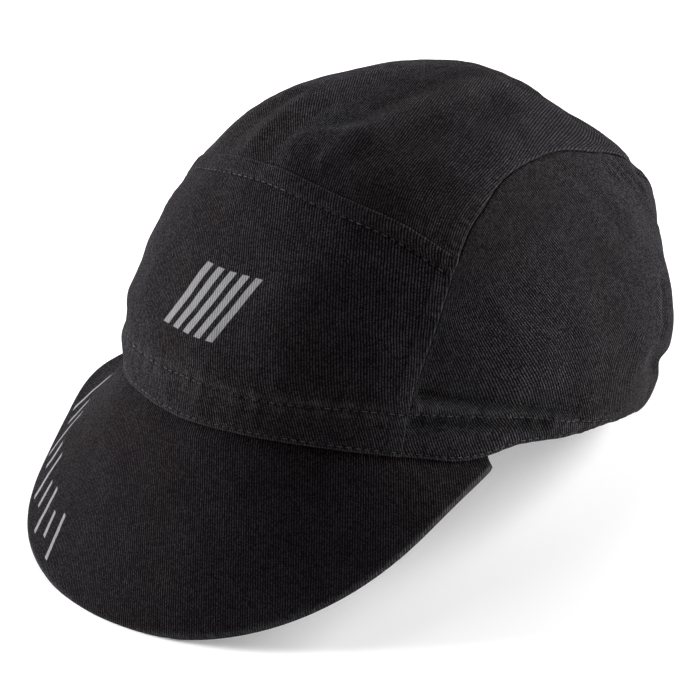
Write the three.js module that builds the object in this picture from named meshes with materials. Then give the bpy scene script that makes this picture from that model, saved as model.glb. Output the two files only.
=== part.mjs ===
import * as THREE from "three";

// A five-panel cloth cap that stands on its peak's edge and its back hem, in millimetres, +Z up.
// It is described upright, with the rim near z = 0, the peak towards -Y and the wearer's left at +X,
// and is then tipped nose up, lowered on the floor and flattened where it rests.
const crown = {
  height: 121,        // from the level of the rim to the apex
  middleY: 9,         // the sections are centred this far behind the origin
  squareness: 0.02,   // how far a section is pushed towards its corners
  frontDip: -6.5,     // the rim hangs this far lower at the front
  backDip: -13.4,     // and this far lower at the back
  wall: 1.6,
};

// Level sections from the rim (station 0) to the apex (station 1)
const sections = [
  { station: 0.00, height: 0, front: 96.5, back: 94, halfWidth: 79 },
  { station: 0.14, height: 18, front: 96.5, back: 101, halfWidth: 81 },
  { station: 0.35, height: 43.5, front: 90.5, back: 103, halfWidth: 84 },
  { station: 0.55, height: 69, front: 81, back: 96, halfWidth: 75 },
  { station: 0.72, height: 90, front: 67.5, back: 88.5, halfWidth: 61.5 },
  { station: 0.86, height: 105.5, front: 43, back: 63, halfWidth: 44.5 },
];

// A place on the crown is a bearing, 0 at the front and 90 at the wearer's left, and a station.
const frontTopSeam = [
  { bearing: -55, station: 0.53 },
  { bearing: -42, station: 0.59 },
  { bearing: -22, station: 0.63 },
  { bearing: 0, station: 0.65 },
  { bearing: 22, station: 0.63 },
  { bearing: 42, station: 0.59 },
  { bearing: 55, station: 0.53 },
];
const frontSideSeam = [
  { bearing: 54.5, station: 0 },
  { bearing: 53, station: 0.2 },
  { bearing: 52.5, station: 0.36 },
  { bearing: 55, station: 0.53 },
];
const topSideSeam = [
  { bearing: 55, station: 0.53 },
  { bearing: 57.5, station: 0.6 },
  { bearing: 62, station: 0.67 },
  { bearing: 69, station: 0.76 },
  { bearing: 84, station: 0.82 },
  { bearing: 108, station: 0.83 },
  { bearing: 130, station: 0.8 },
  { bearing: 141, station: 0.66 },
  { bearing: 146, station: 0.45 },
  { bearing: 147, station: 0.2 },
  { bearing: 147, station: 0 },
];

// The back of the hem is drawn up and in by its elastic, over the lowest part of the cloth
const hemDraw = [
  { bearing: 0, rise: 0, tuck: 0 },
  { bearing: 60, rise: 0, tuck: 0 },
  { bearing: 72, rise: 0.6, tuck: 0.5 },
  { bearing: 80, rise: 4.6, tuck: 1.7 },
  { bearing: 88, rise: 6.2, tuck: 2.6 },
  { bearing: 98, rise: 7.6, tuck: 3.8 },
  { bearing: 108, rise: 9.6, tuck: 5.8 },
  { bearing: 122, rise: 13, tuck: 9 },
  { bearing: 140, rise: 17, tuck: 12 },
  { bearing: 160, rise: 15, tuck: 10 },
  { bearing: 180, rise: 12, tuck: 8 },
];
const hemDrawTop = 0.17;
const hemDrawPower = 2;

// Folds and dents: depth is how far the cloth stands out, width how far that reaches to each side,
// and the path runs through pairs of bearing and station.
const folds = [
  { name: "ridge over the top", width: 8, depth: 2,
    path: [[4, 0.7], [15, 0.8], [26, 0.88], [41, 0.93], [84, 0.96]] },
  { name: "end of the ridge", width: 8, depth: 0.5, path: [[84, 0.96], [105, 0.93], [117, 0.92]] },
  { name: "hollow beside the ridge", width: 9, depth: -1.2, path: [[22, 0.74], [40, 0.84], [62, 0.89]] },
  { name: "soft fold of the far top", width: 8, depth: 1.2, path: [[-13, 0.66], [-24, 0.84]] },
  { name: "puff above the band", width: 8, depth: 1.4,
    path: [[-34, 0.18], [-12, 0.17], [8, 0.16], [34, 0.16]] },
  { name: "bulge at the far front", width: 7, depth: 1.8, path: [[-41, 0.19], [-48, 0.21]] },
  { name: "bulge of the far band", width: 9, depth: 2.2, path: [[-42, 0.08], [-52, 0.09]] },
  { name: "groove above the left hem", width: 6, depth: -1.6, path: [[56, 0.18], [70, 0.155], [90, 0.15]] },
  { name: "bulge at the left back", width: 15, depth: 1.2, path: [[128, 0.42], [131, 0.38]] },
  { name: "notch at the left back", width: 7, depth: -3, path: [[116, 0.29], [130, 0.26]] },
  { name: "slack over the left hem", width: 12, depth: -1.2, path: [[120, 0.16], [136, 0.16]] },
  { name: "groove above the right hem", width: 7, depth: -1.4, path: [[-60, 0.17], [-84, 0.16]] },
  { name: "bulge at the right back", width: 15, depth: 2, path: [[-126, 0.4], [-134, 0.36]] },
  { name: "notch at the right back", width: 8, depth: -2, path: [[-120, 0.27], [-136, 0.25]] },
];

// Gathers over the elastic at the back: bearings and spacing in degrees, fading in over the first few
const gathers = { from: 128, fadeOver: 30, spacing: 14, top: 0.17, depth: 1.2 };

// The peak is ruled: each straight ruling leaves the rim at its bearing with a heading, a slope down
// from level and a length.
const peakRulings = [
  { bearing: 0, heading: 0, slope: 73.5, length: 73.4 },
  { bearing: 20, heading: 22.5, slope: 72, length: 70.5 },
  { bearing: 40, heading: 42, slope: 65, length: 57 },
  { bearing: 55, heading: 53, slope: 50, length: 36.5 },
  { bearing: 65, heading: 58, slope: 34, length: 18 },
  { bearing: 72, heading: 60, slope: 22, length: 4 },
];
const peakShape = { thickness: 3.2, seamGap: 0.35, recess: 0.3 };

const bandShape = { height: 0.13, wall: 1.2, gap: 0.7 };

const rest = {
  tip: 20.4,          // degrees nose up
  lift: 30.2,         // the upright cap's origin comes this far above the floor
  shiftY: 10.7,       // brings the middle of the cap's length over the origin
};

const halfSeamGap = 0.2;
const radians = THREE.MathUtils.degToRad;

// Natural cubic spline through (x, y) pairs
function cubicSpline(xs, ys) {
  const last = xs.length - 1;
  const bend = new Array(last + 1).fill(0);
  const carry = new Array(last + 1).fill(0);
  for (let i = 1; i < last; i++) {
    const share = (xs[i] - xs[i - 1]) / (xs[i + 1] - xs[i - 1]);
    const pivot = share * bend[i - 1] + 2;
    const turn = (ys[i + 1] - ys[i]) / (xs[i + 1] - xs[i]) - (ys[i] - ys[i - 1]) / (xs[i] - xs[i - 1]);
    bend[i] = (share - 1) / pivot;
    carry[i] = (6 * turn / (xs[i + 1] - xs[i - 1]) - share * carry[i - 1]) / pivot;
  }
  for (let i = last - 1; i > 0; i--) bend[i] = bend[i] * bend[i + 1] + carry[i];
  bend[0] = 0;
  bend[last] = 0;
  return (x) => {
    let i = 0;
    while (i < last - 1 && x > xs[i + 1]) i++;
    const step = xs[i + 1] - xs[i];
    const a = (xs[i + 1] - x) / step;
    const b = (x - xs[i]) / step;
    const curved = (a ** 3 - a) * bend[i] + (b ** 3 - b) * bend[i + 1];
    return a * ys[i] + b * ys[i + 1] + curved * step * step / 6;
  };
}

// A section value as a smooth function of the station. The rows are mirrored past the apex, so the
// height is level there and a radius passes through zero.
function sectionCurve(read, atApex, mirrorSign) {
  const stations = sections.map((row) => row.station);
  const values = sections.map(read);
  const mirroredStations = stations.map((station) => 2 - station).reverse();
  const mirroredValues = values.map((value) => mirrorSign * value).reverse();
  return cubicSpline([...stations, 1, ...mirroredStations], [...values, atApex, ...mirroredValues]);
}

const heightAt = sectionCurve((row) => row.height, crown.height, 1);
const frontAt = sectionCurve((row) => row.front + crown.middleY, 0, -1);
const backAt = sectionCurve((row) => row.back - crown.middleY, 0, -1);
const halfWidthAt = sectionCurve((row) => row.halfWidth, 0, -1);

const columnSpline = (rows, across, read) => cubicSpline(rows.map((row) => row[across]), rows.map(read));
const riseAt = columnSpline(hemDraw, "bearing", (row) => row.rise);
const tuckAt = columnSpline(hemDraw, "bearing", (row) => row.tuck);

// The rulings of the right half are the left half's, mirrored
const rightRulings = peakRulings.slice(1).reverse().map((row) => (
  { ...row, bearing: -row.bearing, heading: -row.heading }));
const allRulings = [...rightRulings, ...peakRulings];
const headingAt = columnSpline(allRulings, "bearing", (row) => row.heading);
const slopeAt = columnSpline(allRulings, "bearing", (row) => row.slope);
const rulingLengthAt = columnSpline(allRulings, "bearing", (row) => row.length);

// The plan of the crown is a disc: across is to the wearer's left and ahead to the front, both 0 at
// the apex, and the rim has radius 1.
function planPoint(bearing, station) {
  const angle = radians(bearing);
  return new THREE.Vector2((1 - station) * Math.sin(angle), (1 - station) * Math.cos(angle));
}

function smoothCrown(plan) {
  const station = 1 - plan.length();
  const angle = Math.atan2(plan.x, plan.y);
  const k = crown.squareness;
  const ahead = (Math.cos(angle) - k * Math.cos(3 * angle)) / (1 - k);
  const aside = (Math.sin(angle) + k * Math.sin(3 * angle)) / (1 - k);
  const reach = ahead > 0 ? frontAt(station) : backAt(station);
  const dip = ahead > 0 ? crown.frontDip : crown.backDip;
  const bearing = Math.abs(THREE.MathUtils.radToDeg(angle));
  const drawn = Math.max(0, 1 - station / hemDrawTop) ** hemDrawPower;
  const tuck = drawn * tuckAt(bearing);
  return new THREE.Vector3(
    (halfWidthAt(station) - tuck) * aside,
    crown.middleY - (reach - tuck) * ahead,
    heightAt(station) + dip * ((1 - station) * Math.cos(angle)) ** 2 + drawn * riseAt(bearing));
}

function outwardNormal(surface, plan) {
  const step = 0.004;       // of the plan's radius
  const alongX = surface(new THREE.Vector2(plan.x + step, plan.y));
  const alongY = surface(new THREE.Vector2(plan.x, plan.y + step));
  alongX.sub(surface(new THREE.Vector2(plan.x - step, plan.y)));
  alongY.sub(surface(new THREE.Vector2(plan.x, plan.y - step)));
  return alongY.cross(alongX).normalize();
}

const foldLines = folds.map((fold) => {
  const corners = fold.path.map(([bearing, station]) => smoothCrown(planPoint(bearing, station)));
  const pieces = corners.slice(1).map((corner, i) => new THREE.Line3(corners[i], corner));
  return { ...fold, pieces };
});

function standOut(plan, point) {
  const nearest = new THREE.Vector3();
  let height = 0;
  for (const fold of foldLines) {
    const distances = fold.pieces.map((piece) => (
      piece.closestPointToPoint(point, true, nearest).distanceTo(point)));
    height += fold.depth * Math.exp(-((Math.min(...distances) / fold.width) ** 2));
  }
  const bearing = THREE.MathUtils.radToDeg(Math.abs(Math.atan2(plan.x, plan.y)));
  const station = 1 - plan.length();
  if (bearing > gathers.from && station < gathers.top) {
    const fade = Math.sin(Math.PI * Math.min(1, (bearing - gathers.from) / gathers.fadeOver) / 2);
    const wave = Math.cos(2 * Math.PI * (180 - bearing) / gathers.spacing);
    height += gathers.depth * fade * wave * (1 - station / gathers.top);
  }
  return height;
}

function clothCrown(plan) {
  const point = smoothCrown(plan);
  return point.addScaledVector(outwardNormal(smoothCrown, plan), standOut(plan, point));
}

// Tips the upright cap nose up, sets it on the floor and flattens what would sink into it.
function setDown(point) {
  const tipped = point.clone().applyAxisAngle(new THREE.Vector3(1, 0, 0), -radians(rest.tip));
  return new THREE.Vector3(tipped.x, tipped.y + rest.shiftY, Math.max(0, tipped.z + rest.lift));
}

// A closed body between an outer and an inner grid of points, with walls along its open edges.
function clothBody(outer, inner, ring = false) {
  const rows = outer.length;
  const columns = outer[0].length;
  const positions = [...outer.flat(), ...inner.flat()].flatMap((point) => setDown(point).toArray());
  const faces = [];
  const quad = (a, b, c, d) => faces.push(a, b, c, a, c, d);
  const at = (layer, row, column) => layer * rows * columns + row * columns + column % columns;
  const lastColumn = ring ? columns : columns - 1;
  for (let row = 0; row < rows - 1; row++) {
    for (let column = 0; column < lastColumn; column++) {
      quad(at(0, row, column), at(0, row, column + 1), at(0, row + 1, column + 1), at(0, row + 1, column));
      quad(at(1, row, column), at(1, row + 1, column), at(1, row + 1, column + 1), at(1, row, column + 1));
    }
  }
  for (let column = 0; column < lastColumn; column++) {
    quad(at(0, 0, column), at(1, 0, column), at(1, 0, column + 1), at(0, 0, column + 1));
    const top = rows - 1;
    quad(at(0, top, column), at(0, top, column + 1), at(1, top, column + 1), at(1, top, column));
  }
  if (!ring) {
    for (let row = 0; row < rows - 1; row++) {
      quad(at(0, row, 0), at(0, row + 1, 0), at(1, row + 1, 0), at(1, row, 0));
      const side = columns - 1;
      quad(at(0, row, side), at(1, row, side), at(1, row + 1, side), at(0, row + 1, side));
    }
  }
  const geometry = new THREE.BufferGeometry();
  geometry.setAttribute("position", new THREE.Float32BufferAttribute(positions, 3));
  geometry.setIndex(faces);
  geometry.computeVertexNormals();
  return geometry;
}

// Fills a four-sided patch of the plan from its edges: bottom and top run left to right, the sides up,
// each from 0 to 1, and the two lists of steps say where the grid's lines run.
function fillPatch(bottom, top, left, right, acrossSteps, upSteps) {
  const low = [bottom(0), bottom(1)];
  const high = [top(0), top(1)];
  const grid = [];
  for (const v of upSteps) {
    const line = [];
    for (const u of acrossSteps) {
      const point = new THREE.Vector2();
      point.addScaledVector(bottom(u), 1 - v).addScaledVector(top(u), v);
      point.addScaledVector(left(v), 1 - u).addScaledVector(right(v), u);
      point.addScaledVector(low[0], -(1 - u) * (1 - v)).addScaledVector(low[1], -u * (1 - v));
      point.addScaledVector(high[0], -(1 - u) * v).addScaledVector(high[1], -u * v);
      line.push(point);
    }
    grid.push(line);
  }
  return grid;
}

// Draws the patch's edge points in by half a seam gap, so that neighbouring panels don't touch.
function drawIn(points) {
  const rows = points.length - 1;
  const columns = points[0].length - 1;
  const towards = (point, neighbour) => {
    const step = neighbour.clone().sub(point).setLength(halfSeamGap);
    return point.clone().add(step);
  };
  let grid = points.map((line) => [
    towards(line[0], line[1]), ...line.slice(1, columns), towards(line[columns], line[columns - 1])]);
  const first = grid[0].map((point, column) => towards(point, grid[1][column]));
  const final = grid[rows].map((point, column) => towards(point, grid[rows - 1][column]));
  grid = [first, ...grid.slice(1, rows), final];
  return grid;
}

function panelGeometry(planGrid) {
  const outer = drawIn(planGrid.map((line) => line.map(clothCrown)));
  const inner = outer.map((line, row) => line.map((point, column) => {
    const normal = outwardNormal(smoothCrown, planGrid[row][column]);
    return point.clone().addScaledVector(normal, -crown.wall);
  }));
  return clothBody(outer, inner);
}

const planCurve = (rows) => new THREE.SplineCurve(rows.map((row) => planPoint(row.bearing, row.station)));
const mirrored = (point) => new THREE.Vector2(-point.x, point.y);
const rimBetween = (from, to) => (u) => planPoint(THREE.MathUtils.lerp(from, to, u), 0);

const frontTopCurve = planCurve(frontTopSeam);
const frontSideCurve = planCurve(frontSideSeam);
const topSideCurve = planCurve(topSideSeam);
const cells = {
  frontAcross: 28, frontUp: 14, topAcross: 9, sideAlong: 24, sideUp: 12,
  bandAround: 96, bandUp: 4, peakAcross: 44, peakAlong: 7,
};

// The arched seam is walked in two parts, over the ear and down the back, closer stepped near the hem
const seamSplit = 0.67;
const evenSteps = (count) => Array.from({ length: count + 1 }, (_, i) => i / count);
const hemStepPower = 1.5;
const hemSteps = evenSteps(cells.sideUp).map((step) => step ** hemStepPower);
const seamSteps = [
  ...evenSteps(cells.sideAlong).map((step) => step * seamSplit),
  ...hemSteps.slice(0, -1).reverse().map((step) => 1 - step * (1 - seamSplit)),
];
const frontEdge = frontSideSeam[0].bearing;
const backEdge = topSideSeam[topSideSeam.length - 1].bearing;

function frontPanel() {
  return panelGeometry(fillPatch(
    rimBetween(-frontEdge, frontEdge),
    (u) => frontTopCurve.getPointAt(u),
    (v) => mirrored(frontSideCurve.getPointAt(v)),
    (v) => frontSideCurve.getPointAt(v),
    evenSteps(cells.frontAcross), evenSteps(cells.frontUp)));
}

// The long edge of a top panel is the arched seam, and its other long edge the middle of the crown
function topPanel(side) {
  const seamSide = (v) => topSideCurve.getPointAt(v);
  const frontEnd = (u) => frontTopCurve.getPointAt(0.5 + u / 2);
  const backEnd = rimBetween(180, backEdge);
  const middle = (v) => frontEnd(0).clone().lerp(backEnd(0), v);
  const grid = fillPatch(frontEnd, backEnd, middle, seamSide, evenSteps(cells.topAcross), seamSteps);
  return panelGeometry(side > 0 ? grid : grid.map((line) => line.map(mirrored).reverse()));
}

// A side panel's far end is the part of the arched seam that comes down to the back hem
function sidePanel(side) {
  const top = (u) => topSideCurve.getPointAt(u * seamSplit);
  const back = (v) => topSideCurve.getPointAt(1 - v * (1 - seamSplit));
  const front = (v) => frontSideCurve.getPointAt(v);
  const hem = rimBetween(frontEdge, backEdge);
  const grid = fillPatch(hem, top, front, back, evenSteps(cells.sideAlong), hemSteps);
  return panelGeometry(side > 0 ? grid : grid.map((line) => line.map(mirrored).reverse()));
}

function sweatband() {
  const layer = (depth) => evenSteps(cells.bandUp).map((up) => {
    const station = bandShape.height * up;
    return evenSteps(cells.bandAround).slice(0, -1).map((around) => {
      const plan = planPoint(360 * around, station);
      return clothCrown(plan).addScaledVector(outwardNormal(smoothCrown, plan), -depth);
    });
  });
  const outside = crown.wall + bandShape.gap;
  return clothBody(layer(outside), layer(outside + bandShape.wall), true);
}

function peakPoint(bearing, along) {
  const slope = radians(slopeAt(bearing));
  const heading = radians(headingAt(bearing));
  const ruling = new THREE.Vector3(
    Math.sin(heading) * Math.cos(slope),
    -Math.cos(heading) * Math.cos(slope),
    -Math.sin(slope));
  const reach = THREE.MathUtils.lerp(peakShape.seamGap, rulingLengthAt(bearing), along);
  return smoothCrown(planPoint(bearing, 0)).addScaledVector(ruling, reach);
}

function peak() {
  const lastBearing = peakRulings[peakRulings.length - 1].bearing;
  const step = { along: 0.01, bearing: 0.2 };
  const pointBelow = (bearing, along, depth) => {
    const ahead = peakPoint(bearing, along + step.along).sub(peakPoint(bearing, along - step.along));
    const aside = peakPoint(bearing + step.bearing, along).sub(peakPoint(bearing - step.bearing, along));
    return peakPoint(bearing, along).addScaledVector(ahead.cross(aside).normalize(), -depth);
  };
  const layer = (depth) => evenSteps(cells.peakAlong).reverse().map((along) => (
    evenSteps(cells.peakAcross).map((across) => (
      pointBelow(lastBearing * Math.sin(Math.PI * (across - 0.5)), along, depth)))));
  return clothBody(layer(peakShape.recess), layer(peakShape.recess + peakShape.thickness));
}

const cloth = (color) => new THREE.MeshStandardMaterial({ color, roughness: 0.95, metalness: 0 });
const pieces = {
  front_panel: [frontPanel(), 0x1c1a1d],
  top_panel_left: [topPanel(1), 0x232123],
  top_panel_right: [topPanel(-1), 0x232123],
  side_panel_left: [sidePanel(1), 0x242227],
  side_panel_right: [sidePanel(-1), 0x242227],
  peak: [peak(), 0x1a181b],
  sweatband: [sweatband(), 0x161517],
};

const cap = new THREE.Group();
for (const [name, [geometry, color]] of Object.entries(pieces)) {
  const mesh = new THREE.Mesh(geometry, cloth(color));
  mesh.name = name;
  cap.add(mesh);
}
export default cap;
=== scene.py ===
import math

import bmesh
import bpy
import numpy as np
from mathutils import Matrix, Vector


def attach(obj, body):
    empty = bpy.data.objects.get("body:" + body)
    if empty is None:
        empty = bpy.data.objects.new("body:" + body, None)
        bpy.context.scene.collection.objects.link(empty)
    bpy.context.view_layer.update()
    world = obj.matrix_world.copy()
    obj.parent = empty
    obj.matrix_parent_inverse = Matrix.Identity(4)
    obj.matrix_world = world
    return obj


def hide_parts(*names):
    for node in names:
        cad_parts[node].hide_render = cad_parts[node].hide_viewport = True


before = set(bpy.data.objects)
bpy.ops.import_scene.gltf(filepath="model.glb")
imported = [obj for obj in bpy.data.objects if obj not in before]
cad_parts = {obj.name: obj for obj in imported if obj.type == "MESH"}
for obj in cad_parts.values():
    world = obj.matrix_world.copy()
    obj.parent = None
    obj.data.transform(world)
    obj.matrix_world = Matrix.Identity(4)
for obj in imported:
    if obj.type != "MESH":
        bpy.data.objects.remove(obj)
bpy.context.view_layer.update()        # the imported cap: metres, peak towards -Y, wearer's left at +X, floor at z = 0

print("frame loaded:", len(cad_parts), "nodes")

millimetre = 0.001

# the cap's shape, in millimetres, as it stands upright with its rim near z = 0

crown = {
    "height": 121,        # from the level of the rim to the apex
    "middleY": 9,
    "squareness": 0.02,
    "frontDip": -6.5,     # the rim hangs this much lower at the front
    "backDip": -13.4,     # and this much lower at the back
    "wall": 1.5,
}

# level sections: station, height, front, back, half width
sections = [
    (0.00, 0, 96.5, 94, 79),
    (0.14, 18, 96.5, 101, 81),
    (0.35, 43.5, 90.5, 103, 84),
    (0.55, 69, 81, 96, 75),
    (0.72, 90, 67.5, 88.5, 61.5),
    (0.86, 105.5, 43, 63, 44.5),
]

# seams as pairs of bearing (0 at the front, 90 at the wearer's left) and station
frontTopSeam = [(-55, 0.53), (-42, 0.59), (-22, 0.63), (0, 0.65), (22, 0.63), (42, 0.59), (55, 0.53)]
frontSideSeam = [(54.5, 0), (53, 0.2), (52.5, 0.36), (55, 0.53)]
topSideSeam = [
    (55, 0.53), (57.5, 0.6), (62, 0.67), (69, 0.76), (84, 0.82), (108, 0.83),
    (130, 0.8), (141, 0.66), (146, 0.45), (147, 0.2), (147, 0),
]

# the elastic draws the back of the hem up and in: bearing, rise, tuck
hemDraw = [
    (0, 0, 0), (60, 0, 0), (72, 0.6, 0.5), (80, 4.6, 1.7), (88, 6.2, 2.6), (98, 7.6, 3.8),
    (108, 9.6, 5.8), (122, 13, 9), (140, 17, 12), (160, 15, 10), (180, 12, 8),
]
hemDrawTop = 0.17
hemDrawPower = 2

# folds and dents: width, how far the cloth stands out, path of bearings and stations
folds = [
    (8, 2, [(4, 0.7), (15, 0.8), (26, 0.88), (41, 0.93), (84, 0.96)]),        # ridge over the top
    (8, 0.5, [(84, 0.96), (105, 0.93), (117, 0.92)]),                         # end of the ridge
    (9, -1.2, [(22, 0.74), (40, 0.84), (62, 0.89)]),                          # hollow beside the ridge
    (8, 1.2, [(-13, 0.66), (-24, 0.84)]),                                     # soft fold of the far top
    (8, 1.4, [(-34, 0.18), (-12, 0.17), (8, 0.16), (34, 0.16)]),              # puff above the band
    (7, 1.8, [(-41, 0.19), (-48, 0.21)]),                                     # bulge at the far front
    (9, 2.2, [(-42, 0.08), (-52, 0.09)]),                                     # bulge of the far band
    (6, -1.6, [(56, 0.18), (70, 0.155), (90, 0.15)]),                         # groove above the left hem
    (15, 1.2, [(128, 0.42), (131, 0.38)]),                                    # bulge at the left back
    (7, -3, [(116, 0.29), (130, 0.26)]),                                      # notch at the left back
    (12, -1.2, [(120, 0.16), (136, 0.16)]),                                   # slack over the left hem
    (7, -1.4, [(-60, 0.17), (-84, 0.16)]),                                    # groove above the right hem
    (15, 2, [(-126, 0.4), (-134, 0.36)]),                                     # bulge at the right back
    (8, -2, [(-120, 0.27), (-136, 0.25)]),                                    # notch at the right back
]
gathers = {
    "from": 128, "fadeOver": 30, "spacing": 14, "top": 0.17, "depth": 1.2,
    "smallSpacing": 5.1, "smallDepth": 0.45, "smallSway": 1.3,
}

# smaller folds and creases that only the cloth has: width, height, path
creases = [
    # crest of the ridge over the top, the hollows on both sides of it, and its end
    (3.2, 1.4, [
        (14, 0.7), (16, 0.787), (21, 0.812), (26, 0.847), (32, 0.88), (42, 0.907), (54, 0.927), (68, 0.94)]),
    (4, -1, [(8, 0.8), (13, 0.835), (17, 0.87), (24, 0.91), (38, 0.94), (58, 0.955)]),
    (8, -1.2, [(34, 0.82), (42, 0.865), (52, 0.89), (66, 0.91)]),
    (5, -0.8, [(59, 0.89), (76, 0.915)]),
    (8, 0.9, [(56, 0.86), (67, 0.84)]),
    (3, 0.35, [(80, 0.955), (100, 0.95), (112, 0.93)]),
    # dents in the outline at the back
    (6, -1.3, [(100, 0.962), (128, 0.935), (140, 0.912)]),
    (9, -1, [(137, 0.5), (133, 0.36)]),
    (4.5, -2.4, [(142, 0.27), (131, 0.25), (122, 0.256)]),
    # far end of the front panel, above the band
    (4, -1.2, [(-38, 0.125), (-46, 0.13)]),
    # soft ridges and hollows of the far top
    (4.5, 0.9, [(-33, 0.68), (-32, 0.77), (-34, 0.83)]),
    (4, -0.8, [(-22, 0.69), (-23.5, 0.77), (-25.5, 0.83)]),
    (3.2, 0.8, [(-13, 0.68), (-14.5, 0.76), (-18, 0.82)]),
    (3.2, -0.6, [(-2, 0.68), (-3, 0.77), (-6.5, 0.83)]),
    (1.6, 0.45, [(8, 0.855), (12, 0.835)]),
    # roll above the left band, and the hollows above and below it
    (1.8, 1.3, [(55, 0.142), (62, 0.143), (69, 0.138), (78, 0.126), (85, 0.113), (92, 0.099)]),
    (2.8, -1.6, [
        (55, 0.176), (59, 0.169), (64.5, 0.161), (69, 0.152), (78, 0.137), (86, 0.124), (94, 0.108)]),
    (2.4, -1.7, [(55, 0.096), (60.5, 0.098), (70, 0.098), (79, 0.091), (85, 0.084)]),
    # upright creases near the left back
    (1.3, 0.9, [(115.5, 0.5), (114, 0.43), (114.5, 0.36)]),
    (2.2, -0.9, [(119, 0.49), (117.5, 0.42), (118, 0.36)]),
    (3, 0.8, [(124.5, 0.57), (124.5, 0.52), (123.5, 0.45)]),
    # notches in the outline at the left back
    (5, -2.4, [(144, 0.66), (139, 0.625), (134, 0.595)]),
    (4, -1.4, [(148, 0.81), (142, 0.785), (134, 0.77)]),
    (6, -1.6, [(157, 0.915), (150, 0.9), (137, 0.89)]),
    # fan of creases below the arched seam
    (1.1, 0.9, [(112.5, 0.825), (112, 0.8), (113, 0.765)]),
    (1.1, 0.9, [(117.2, 0.818), (118, 0.79), (120, 0.743)]),
    (1.1, 0.6, [(108.5, 0.805), (106.8, 0.748)]),
    (1.3, -0.8, [(115, 0.815), (115.5, 0.79), (117, 0.75)]),
    (1.5, -0.6, [(110.5, 0.81), (109.5, 0.76)]),
    (2, -0.9, [(121, 0.81), (123, 0.76), (125, 0.72)]),
    (2.2, 0.35, [(84, 0.78), (92, 0.72), (96, 0.66)]),
    (2.2, -0.3, [(88, 0.79), (96, 0.73), (101, 0.68)]),
    # across the arched seam
    (3, 0.5, [(81.5, 0.89), (80, 0.83)]),
    # slack places in the front band
    (4, 0.5, [(-14, 0.066), (-5, 0.062)]),
    (3.5, 0.45, [(1, 0.078), (6, 0.074)]),
    (2.5, -0.5, [(-3, 0.05), (-1, 0.085)]),
    (2.5, -0.4, [(10, 0.045), (12, 0.085)]),
    # the wearer's right side and the back
    (3, 0.4, [(-92, 0.5), (-97, 0.44), (-98, 0.37)]),
    (2.4, -0.35, [(-100, 0.7), (-108, 0.64)]),
    (2.4, 0.9, [(-56, 0.148), (-72, 0.138), (-88, 0.12)]),
    (3, -0.9, [(-56, 0.093), (-68, 0.093), (-82, 0.082)]),
    (3, 0.4, [(160, 0.4), (166, 0.46), (169, 0.55)]),
    (3, 0.35, [(-158, 0.34), (-163, 0.42)]),
]

# the peak is ruled: bearing, heading, slope down from level, length
peakRulings = [
    (0, 0, 73.5, 73.4), (20, 22.5, 72, 70.5), (40, 42, 65, 57),
    (55, 53, 50, 36.5), (65, 58, 34, 18), (74, 60, 20, 4),
]
peakShape = {"thickness": 3.2, "recess": 0.3}

# the far wing, at the wearer's right, hangs a little otherwise: steeper by degrees, longer by millimetres
farWingChanges = [(0, 0), (0.5, 0), (2, -1), (-3, 6.5), (-5, 6)]
rimStationLength = 128    # millimetres of wall to a whole station, near the rim

rest = {"tip": 20.4, "lift": 30.2, "shiftY": 10.7}


def naturalSpline(xs, ys):
    xs = np.asarray(xs, float)
    ys = np.asarray(ys, float)
    last = len(xs) - 1
    steps = np.diff(xs)
    matrix = np.eye(last + 1)
    turns = np.zeros(last + 1)
    for i in range(1, last):
        matrix[i, i - 1:i + 2] = steps[i - 1], 2 * (steps[i - 1] + steps[i]), steps[i]
        turns[i] = 6 * ((ys[i + 1] - ys[i]) / steps[i] - (ys[i] - ys[i - 1]) / steps[i - 1])
    bends = np.linalg.solve(matrix, turns)

    def curve(x):
        i = np.clip(np.searchsorted(xs, x, side="right") - 1, 0, last - 1)
        a = (xs[i + 1] - x) / steps[i]
        b = (x - xs[i]) / steps[i]
        bend = (a ** 3 - a) * bends[i] + (b ** 3 - b) * bends[i + 1]
        return a * ys[i] + b * ys[i + 1] + bend * steps[i] ** 2 / 6
    return curve


# the rows are mirrored past the apex, so that the height is level there and a radius passes through zero
def sectionCurve(values, atApex, mirrorSign):
    stations = [row[0] for row in sections]
    stationsBeyond = [2 - station for station in reversed(stations)]
    valuesBeyond = [mirrorSign * value for value in reversed(values)]
    return naturalSpline(stations + [1] + stationsBeyond, values + [atApex] + valuesBeyond)


heightAt = sectionCurve([row[1] for row in sections], crown["height"], 1)
frontAt = sectionCurve([row[2] + crown["middleY"] for row in sections], 0, -1)
backAt = sectionCurve([row[3] - crown["middleY"] for row in sections], 0, -1)
halfWidthAt = sectionCurve([row[4] for row in sections], 0, -1)
riseAt = naturalSpline([row[0] for row in hemDraw], [row[1] for row in hemDraw])
tuckAt = naturalSpline([row[0] for row in hemDraw], [row[2] for row in hemDraw])

rightRulings = [
    (-row[0], -row[1], row[2] + steeper, row[3] + longer)
    for row, (steeper, longer) in zip(reversed(peakRulings[1:]), reversed(farWingChanges))]
rulings = rightRulings + peakRulings
rulingBearings = [row[0] for row in rulings]
headingAt = naturalSpline(rulingBearings, [row[1] for row in rulings])
slopeAt = naturalSpline(rulingBearings, [row[2] for row in rulings])
rulingLengthAt = naturalSpline(rulingBearings, [row[3] for row in rulings])


# the plan of the crown is a disc: x to the wearer's left, y ahead, apex in the middle, rim at radius 1
def planPoints(bearings, stations):
    angles = np.radians(bearings)
    reach = 1 - np.asarray(stations, float)
    return np.stack([reach * np.sin(angles), reach * np.cos(angles)], -1)


def bearingOf(plan):
    return np.degrees(np.arctan2(plan[:, 0], plan[:, 1]))


def stationOf(plan):
    return 1 - np.hypot(plan[:, 0], plan[:, 1])


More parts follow.
